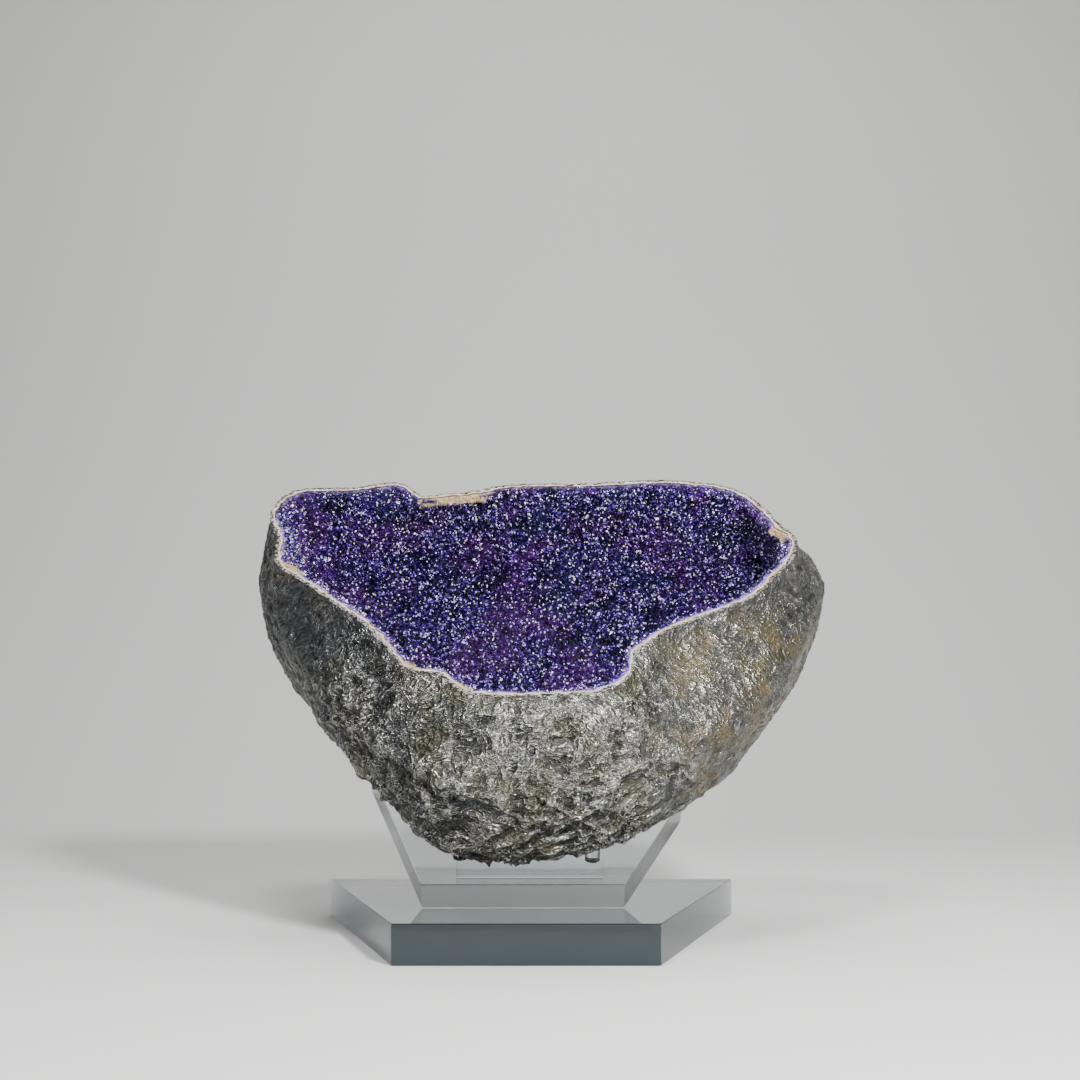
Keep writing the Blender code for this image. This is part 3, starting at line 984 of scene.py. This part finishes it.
def rind_bump(tree, fine, finest, grains, crisp):
    height = plus_share(tree, times(tree, fine, FINE_HEIGHT), finest, FINEST_HEIGHT)
    height = plus_share(tree, height, grains, GRAIN_HEIGHT)
    inputs = {"Height": times(tree, height, crisp), "Strength": 1.0, "Distance": 1.0}
    return add(tree, "ShaderNodeBump", inputs).outputs[0]


# %% Rind material
# The near-black colour of the cracks is painted shade.
CRACK_SHADE, MID, CREST = (0.001, 0.001, 0.001), (0.050, 0.050, 0.048), (0.47, 0.463, 0.435)
RIND_GREYS = [(0.25, CRACK_SHADE), (0.42, MID), (0.71, CREST)]
OCHRE, OLIVE, STEEL = (0.25, 0.18, 0.055), (0.105, 0.094, 0.036), (0.024, 0.036, 0.052)
OCHRE_SHARE, OLIVE_SHARE, STEEL_SHARE, RUST_SHARE = 0.44, 0.40, 0.45, 0.35
OCHRE_PATCHES = (0.030, 0.44, 0.64)
OLIVE_PATCHES = (0.060, 0.46, 0.64, (0.4, 0.1, 0.7))
STEEL_PATCHES = (0.060, 0.42, 0.60, (0.9, 0.3, 0.2))
LOW_SPAN, BELOW_RIM_SPAN, LEFT_SPAN = (0.26, 0.12, 0.0, 0.4), (0.35, 0.26, 0.15, 1.0), (0.06, -0.16)
CRACK_SHADE_SPAN, ROUGH_SPAN, METAL_SPAN = (0.18, 0.38), (0.15, 0.6, 0.45, 0.24), (0.26, 0.58, 0.0, 0.9)
RIND_IOR = 1.55


def rind_material():
    made, tree, shader = new_material("grey rind")
    place = object_place(tree)
    fine, finest, grains, crisp = rind_wrinkles(tree, place)
    tone = rind_tone(tree, place, fine, finest, grains, crisp)
    height = along(tree, place, "Z")
    low = eased(tree, height, *LOW_SPAN)
    below_rim = eased(tree, height, *BELOW_RIM_SPAN)
    on_left = eased(tree, along(tree, place, "X"), *LEFT_SPAN)
    damp = calc(tree, "MAXIMUM", times(tree, on_right(tree, place), below_rim), low)
    color = ramp(tree, tone, RIND_GREYS)
    color = stained(tree, color, OCHRE, OCHRE_SHARE, patch(tree, place, *OCHRE_PATCHES), damp)
    olive = patch(tree, place, *OLIVE_PATCHES)
    color = stained(tree, color, OLIVE, OLIVE_SHARE, olive, below_rim)
    steel = patch(tree, place, *STEEL_PATCHES)
    color = stained(tree, color, STEEL, STEEL_SHARE, steel, on_left)
    rusty = use_group(tree, tan_spots, {"Place": place})
    color = stained(tree, color, RUST, RUST_SHARE, rusty)
    # Painted shade: the cracks are darkened to near black.
    color = blend_colors(tree, eased(tree, tone, *CRACK_SHADE_SPAN), CRACK_SHADE, color)
    fill(tree, shader, {
        "Base Color": color, "IOR": RIND_IOR,
        "Roughness": eased(tree, tone, *ROUGH_SPAN),
        "Metallic": eased(tree, tone, *METAL_SPAN),
        "Normal": rind_bump(tree, fine, finest, grains, crisp)})
    return made


rind_finish = rind_material()
print(rind_finish.name, "has", len(rind_finish.node_tree.nodes), "nodes")

# %% [markdown]
# ### Sawn agate
#
# Between rock and crystals the saw laid bare a thin line of agate. The outer half of the
# sawn ring is still rock, wrinkled and metallic like the rind's crests. Then come honey
# and cream, and on the inside the pale roots of the crystals. In a few tan places ochre
# rock shows. The line's width changes along the rim: the `across` number places the
# colours, and noise makes them waver.

# %% Sawn agate material
ROCK_EDGE, ROCK_GREY = (0.012, 0.012, 0.011), (0.36, 0.352, 0.33)
HONEY, CREAM, PALE_ROOTS = (0.48, 0.27, 0.055), (0.86, 0.68, 0.31), (0.30, 0.22, 0.52)
AGATE_BANDS = [(0.58, HONEY), (0.64, CREAM), (0.72, CREAM), (0.79, PALE_ROOTS)]
ROCK_SPAN, PAST_ROCK_SPAN, ROCK_METALLIC = (0.54, 0.59, 1.0, 0.0), (0.35, 0.5), 0.8
WAVER_SIZE, WAVER = 6.0 * MM, 1.5
HONEY_PATCHES, HONEY_SHARE, TAN_SHARE = (0.024, 0.45, 0.58), 0.65, 0.8
AGATE_GRAIN, AGATE_GRAIN_HEIGHT = 0.9 * MM, 0.7 * MM
AGATE_ROUGHNESS = 0.38


def agate_material():
    made, tree, shader = new_material("sawn agate")
    place = object_place(tree)
    waver = cloud(tree, place, WAVER_SIZE, detail=4.0, roughness=0.62).outputs[0]
    waver = plus_share(tree, -0.5 * WAVER, waver, WAVER)
    across = calc(tree, "ADD", carried(tree, "across"), waver)
    color = ramp(tree, across, AGATE_BANDS)
    past_rock = eased(tree, across, *PAST_ROCK_SPAN)
    honey = patch(tree, place, *HONEY_PATCHES)
    color = stained(tree, color, HONEY, HONEY_SHARE, honey, past_rock)
    tan_here = use_group(tree, tan_spots, {"Place": place})
    color = stained(tree, color, TAN, TAN_SHARE, tan_here)
    wrinkles = creases(tree, wandering(tree, place), FINEST_WIDTH)
    rock = blend_colors(tree, wrinkles, ROCK_EDGE, ROCK_GREY)
    rock_here = eased(tree, across, *ROCK_SPAN)
    color = blend_colors(tree, rock_here, color, rock)
    grains = use_group(tree, grit, {"Place": place, "Grain Size": AGATE_GRAIN})
    height = times(tree, grains, AGATE_GRAIN_HEIGHT)
    bump = add(tree, "ShaderNodeBump", {"Height": height, "Distance": 1.0}).outputs[0]
    fill(tree, shader, {
        "Base Color": color, "Metallic": times(tree, rock_here, ROCK_METALLIC),
        "Normal": bump, "Roughness": AGATE_ROUGHNESS})
    return made


agate_finish = agate_material()
print(agate_finish.name, "has", len(agate_finish.node_tree.nodes), "nodes")

# %% Rind and agate on the rock shell
SHARP_ANGLE = math.radians(38.0)

dress(rock_shell, rind_finish, agate_finish)
for face in rock_shell.data.polygons:
    face.material_index = 1 if lies_on_cut(face) else 0
take(rock_shell)
bpy.ops.object.shade_smooth_by_angle(angle=SHARP_ANGLE)
sawn_faces = sum(face.material_index for face in rock_shell.data.polygons)
print("sawn faces:", sawn_faces)

# %% [markdown]
# ### Amethyst
#
# From a step away the druse is dark indigo that breaks into sparks. Close up each crystal
# differs: most are deep violet or ink blue, some magenta. A few facets are painted lavender
# or white, as painted glints where a face would catch the light. The faces of one crystal
# differ as well, so its number is mixed with one for each facet, and the painted glints fall
# on single facets. Broad patches lean to blue or to purple. They pass over the darkest and
# the whitest facets, because otherwise they would lie on the druse like a haze. Small
# patches darken facets to near black, as painted shade in hollows of the druse, and the bed
# between the crystals keeps to the dark colours, as painted shade too. Near the cut, where
# the roots show, the crystals pale to lavender. Quartz is glossy, so the crystals'
# roughness is low.

# %% Amethyst material
INK, INDIGO, VIOLET = (0.0003, 0.0003, 0.002), (0.003, 0.002, 0.020), (0.038, 0.009, 0.150)
MAGENTA, TEAL = (0.085, 0.010, 0.13), (0.003, 0.012, 0.050)
# Lavender and white facets at the top of the ramp are painted glints. Lavender is also the pale
# roots' own colour near the cut.
LILAC, LAVENDER, PAINTED_GLINT_WHITE = (0.13, 0.06, 0.42), (0.48, 0.38, 0.86), (0.96, 0.94, 1.00)
CRYSTAL_COLORS = [(0.25, INK), (0.43, INDIGO), (0.60, VIOLET), (0.73, LILAC),
                  (0.83, LAVENDER), (0.88, PAINTED_GLINT_WHITE)]
PURPLE_PATCHES, PURPLE_SHARE = (0.055, 0.44, 0.62), 0.48
BLUE_PATCHES, BLUE_SHARE = (0.050, 0.48, 0.62, (0.7, 0.2, 0.5)), 0.55
# Painted shade: small patches where facets are darkened to near black, as in hollows of the druse.
PAINTED_SHADE_PATCHES, PAINTED_SHADE_SHARE = (0.026, 0.52, 0.64, (0.2, 0.9, 0.1)), 0.65
UNGLINTED_SPAN, TINT_SPAN = (0.80, 0.86, 1.0, 0.0), (0.22, 0.50, 0.12, 1.0)
PALE_SPAN, PALE_WAVER, PALE_RAGGED = (0.55, 1.05, 1.0, 0.0), 9.0 * MM, 1.1
PALE_RANK_SPAN, PALE_BACK_SPAN = (0.1, 0.7, 0.15, 0.90), (0.05, 0.15, 1.0, 0.4)
TAN_SPAN, TAN_RANK_SPAN = (3.2 * MM, 7.04 * MM, 0.9, 0.0), (0.1, 0.5, 0.35, 1.0)
OF_CRYSTAL, OF_FACET, FACET_STEP = 0.55, 0.45, 0.02
BED_GRAIN = 2.6 * MM
QUARTZ_IOR = 1.545
CRYSTAL_SHINE = {"Roughness": 0.25, "Specular IOR Level": 0.3}
BED_SHINE = {"Roughness": 0.6, "Specular IOR Level": 0.1}


def facet_number(tree):
    """A random number for each flat facet, since all its points share one normal."""
    normal = add(tree, "ShaderNodeTexCoord").outputs["Normal"]
    rounded = vector_calc(tree, "SNAP", normal, (FACET_STEP, FACET_STEP, FACET_STEP))
    return add(tree, "ShaderNodeTexWhiteNoise", {"Vector": rounded}).outputs["Value"]


def facet_rank(tree, place, of_bed):
    """Where each facet stands between the darkest, 0, and the whitest, 1."""
    # Painted shade: the bed's ranks stay in the dark half, so the roots between the crystals are
    # near black.
    if of_bed:
        shade = cells(tree, place, BED_GRAIN).outputs["Color"]
        shade = add(tree, "ShaderNodeSeparateColor", {0: shade}).outputs[0]
        return times(tree, shade, OF_CRYSTAL)
    # A number for each facet scatters the painted glints over single facets.
    of_facet = times(tree, facet_number(tree), OF_FACET)
    return plus_share(tree, of_facet, carried(tree, "shade"), OF_CRYSTAL)


def pale_share(tree, place, rank):
    """How much a place near the cut pales to lavender. It is less so at the back."""
    ragged = cloud(tree, place, PALE_WAVER).outputs[0]
    ragged = plus_share(tree, carried(tree, "across"), ragged, PALE_RAGGED)
    pale = eased(tree, ragged, *PALE_SPAN)
    pale = times(tree, pale, eased(tree, rank, *PALE_RANK_SPAN))
    return times(tree, pale, eased(tree, along(tree, place, "Y"), *PALE_BACK_SPAN))


def amethyst_material(name, of_bed=False):
    made, tree, shader = new_material(name)
    place = object_place(tree)
    rank = facet_rank(tree, place, of_bed)
    color = ramp(tree, rank, CRYSTAL_COLORS)
    # Facets below the painted glints take the tints and the painted shade; the glints stay white.
    unglinted = eased(tree, rank, *UNGLINTED_SPAN)
    takes_tint = times(tree, unglinted, eased(tree, rank, *TINT_SPAN))
    # Purple and blue are tints of the crystals; the ink patches are painted shade.
    for tint, share, where, facets in ((MAGENTA, PURPLE_SHARE, PURPLE_PATCHES, takes_tint),
                                       (TEAL, BLUE_SHARE, BLUE_PATCHES, takes_tint),
                                       (INK, PAINTED_SHADE_SHARE, PAINTED_SHADE_PATCHES, unglinted)):
        color = stained(tree, color, tint, share, patch(tree, place, *where), facets)
    color = blend_colors(tree, pale_share(tree, place, rank), color, LAVENDER)
    near_cut = eased(tree, depth_field(tree, place), *TAN_SPAN)
    tan_here = times(tree, use_group(tree, tan_spots, {"Place": place}), near_cut)
    tan_here = times(tree, tan_here, eased(tree, rank, *TAN_RANK_SPAN))
    color = blend_colors(tree, tan_here, color, TAN)
    fill(tree, shader, {"Base Color": color, "IOR": QUARTZ_IOR})
    fill(tree, shader, BED_SHINE if of_bed else CRYSTAL_SHINE)
    return made


crystal_finish = amethyst_material("amethyst")
bed_finish = amethyst_material("amethyst roots", of_bed=True)
for piece in druse:
    dress(piece, crystal_finish)
dress(crystal_bed, bed_finish)
print("amethyst on", len(druse), "crystal pieces and the bed")

# %% [markdown]
# ### Acrylic
#
# The stand is cast acrylic, sawn from thick sheet and polished. It is see-through, with a
# faint grey that only shows through its thickness, so the tint is an absorption in the
# volume and the surface itself has next to none. The base slab is the greyest. A slab's
# broad faces are polished, and its sawn edges more satin. The shapes are right as they
# are, so the solids stay and only take the finish.

# %% Acrylic material on the slabs, feet and prop
ACRYLIC_IOR = 1.49
ACRYLIC_TINT, ACRYLIC_SURFACE = (0.58, 0.64, 0.67, 1.0), (0.93, 0.955, 0.965, 1.0)
POLISHED, SMUDGED, BROAD_SPAN = 0.012, 0.03, (0.3, 0.8)
SMUDGES = (0.035, 0.45, 0.75)
PLATFORM_TILT = math.radians(25.0)
SLABS = {
    "base_slab": {"slab_normal": (0.0, 0.0, 1.0), "satin": 0.20, "density": 22.0},
    "platform_slab": {"slab_normal": (0.0, -math.sin(PLATFORM_TILT), math.cos(PLATFORM_TILT)),
                      "satin": 0.65, "density": 0.6},
}


def acrylic_material(name, slab_normal=None, satin=0.0, density=1.0):
    """Clear acrylic. A slab's broad faces are polished and its sawn edges are satin."""
    made, tree, shader = new_material(name)
    fill(tree, shader, {"Base Color": ACRYLIC_SURFACE, "Transmission Weight": 1.0,
                        "IOR": ACRYLIC_IOR})
    rough = plus_share(tree, POLISHED, patch(tree, object_place(tree), *SMUDGES), SMUDGED)
    if slab_normal:
        facing = add(tree, "ShaderNodeNewGeometry").outputs["Normal"]
        broad = calc(tree, "ABSOLUTE", vector_calc(tree, "DOT_PRODUCT", facing, slab_normal))
        rough = calc(tree, "ADD", rough, eased(tree, broad, *BROAD_SPAN, satin, 0.0))
    fill(tree, shader, {"Roughness": rough})
    inputs = {"Color": ACRYLIC_TINT, "Density": density}
    absorbing = add(tree, "ShaderNodeVolumeAbsorption", inputs).outputs[0]
    fill(tree, tree.nodes["Material Output"], {"Volume": absorbing})
    return made


small_parts = acrylic_material("clear acrylic")
finishes = {node: acrylic_material(node + " acrylic", **how) for node, how in SLABS.items()}
STAND_NODES = ("base_slab", "platform_slab", "rest_foot_left", "rest_foot_right",
               "rest_foot_back", "rear_prop")
for node in STAND_NODES:
    dress(frame["nodes"][node], finishes.get(node, small_parts))
print("acrylic on", len(STAND_NODES), "nodes")

# %% [markdown]
# ## The pale sweep and the lights
#
# The setting is a plain pale sweep: a floor that curves up into a back wall, made from a
# plane by extruding its far edge and rounding the fold. It lies a hair below the stand. If
# it lay in the very plane of the clear slab's underside, the slab would look black.
#
# Small soft lights matter here. A crystal only glints when one of its faces happens to
# mirror a light, so the lights are bright and not too large, while a dim pale world fills
# the shadows.

# %% Floor that curves up into a wall
FLOOR_HALF_WIDTH, FLOOR_FRONT, FLOOR_BACK, WALL_HEIGHT = 4.0, -4.0, 2.2, 4.0
FLOOR_GAP = 0.3 * MM
FOLD_RADIUS, FOLD_FACES = 1.2, 24
PAPER, PAPER_ROUGHNESS = (0.62, 0.62, 0.61, 1.0), 0.9

bpy.ops.object.select_all(action="DESELECT")
bpy.ops.mesh.primitive_plane_add(size=2.0, location=(0.0, 0.0, -FLOOR_GAP))
sweep = bpy.context.object
sweep.name = "pale_sweep"
for corner in sweep.data.vertices:
    corner.co.x *= FLOOR_HALF_WIDTH
    corner.co.y = FLOOR_BACK if corner.co.y > 0.0 else FLOOR_FRONT


def far_and_low(edge):
    """Whether an edge of the sweep is the far one on the floor."""
    ends = [sweep.data.vertices[end].co for end in edge.vertices]
    return all(end.y > 0.0 and end.z < FOLD_RADIUS for end in ends)


edit(sweep, "EDGE", far_and_low)
bpy.ops.mesh.extrude_region_move(TRANSFORM_OT_translate={"value": (0.0, 0.0, WALL_HEIGHT)})
object_mode()
edit(sweep, "EDGE", far_and_low)
bpy.ops.mesh.bevel(offset=FOLD_RADIUS, segments=FOLD_FACES, affect="EDGES")
object_mode()
bpy.ops.object.shade_smooth()
floor_finish, floor_tree, floor_shader = new_material("pale paper")
fill(floor_tree, floor_shader, {"Base Color": PAPER, "Roughness": PAPER_ROUGHNESS})
dress(sweep, floor_finish)
sweep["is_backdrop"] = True
print("sweep:", triangles(sweep), "triangles")

# %% Soft lights
LIGHTS = {
    "key_light": {"place": (0.75, -1.50, 1.40), "size": 0.24, "watts": 82.0},
    "side_light": {"place": (1.15, -0.95, 1.15), "size": 0.30, "watts": 8.0},
    "fill_light": {"place": (-1.25, -1.35, 0.75), "size": 0.30, "watts": 5.0},
    "high_light": {"place": (-0.20, -0.55, 1.70), "size": 0.30, "watts": 14.0},
    "front_light": {"place": (-0.10, -2.00, 0.70), "size": 0.24, "watts": 12.0},
    "sweep_light": {"place": (0.0, 0.9, 2.6), "size": 1.60, "watts": 42.0},
}
LIGHTS_AIM = Vector((0.0, 0.0, 0.28))
WORLD_LIGHT = 0.06

for name, light in LIGHTS.items():
    bpy.ops.object.select_all(action="DESELECT")
    aim = LIGHTS_AIM - Vector(light["place"])
    bpy.ops.object.light_add(type="AREA", location=light["place"],
                             rotation=aim.to_track_quat("-Z", "Y").to_euler())
    lamp = bpy.context.object
    lamp.name = name
    lamp.data.size = light["size"]
    lamp.data.energy = light["watts"]
world = bpy.data.worlds.new("pale room")
bpy.context.scene.world = world
world.use_nodes = True
fill(world.node_tree, world.node_tree.nodes["Background"],
     {"Color": (1.0, 1.0, 1.0, 1.0), "Strength": WORLD_LIGHT})
print("lights:", sorted(LIGHTS))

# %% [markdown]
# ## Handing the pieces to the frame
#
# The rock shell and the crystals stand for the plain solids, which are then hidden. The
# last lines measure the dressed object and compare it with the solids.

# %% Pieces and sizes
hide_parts("rind")
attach(rock_shell, "root")
for piece in [crystal_bed] + druse:
    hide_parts("crystal_crust")
    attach(piece, "root")

dressed_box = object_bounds()
for label, sign, corner in (("low", 1.0, 0), ("high", -1.0, 1)):
    room = [round(sign * (b - a) / MM, 2) for a, b in zip(solid_box[corner], dressed_box[corner])]
    print("room inside the solids' box at its", label, "corner, in mm:", room)
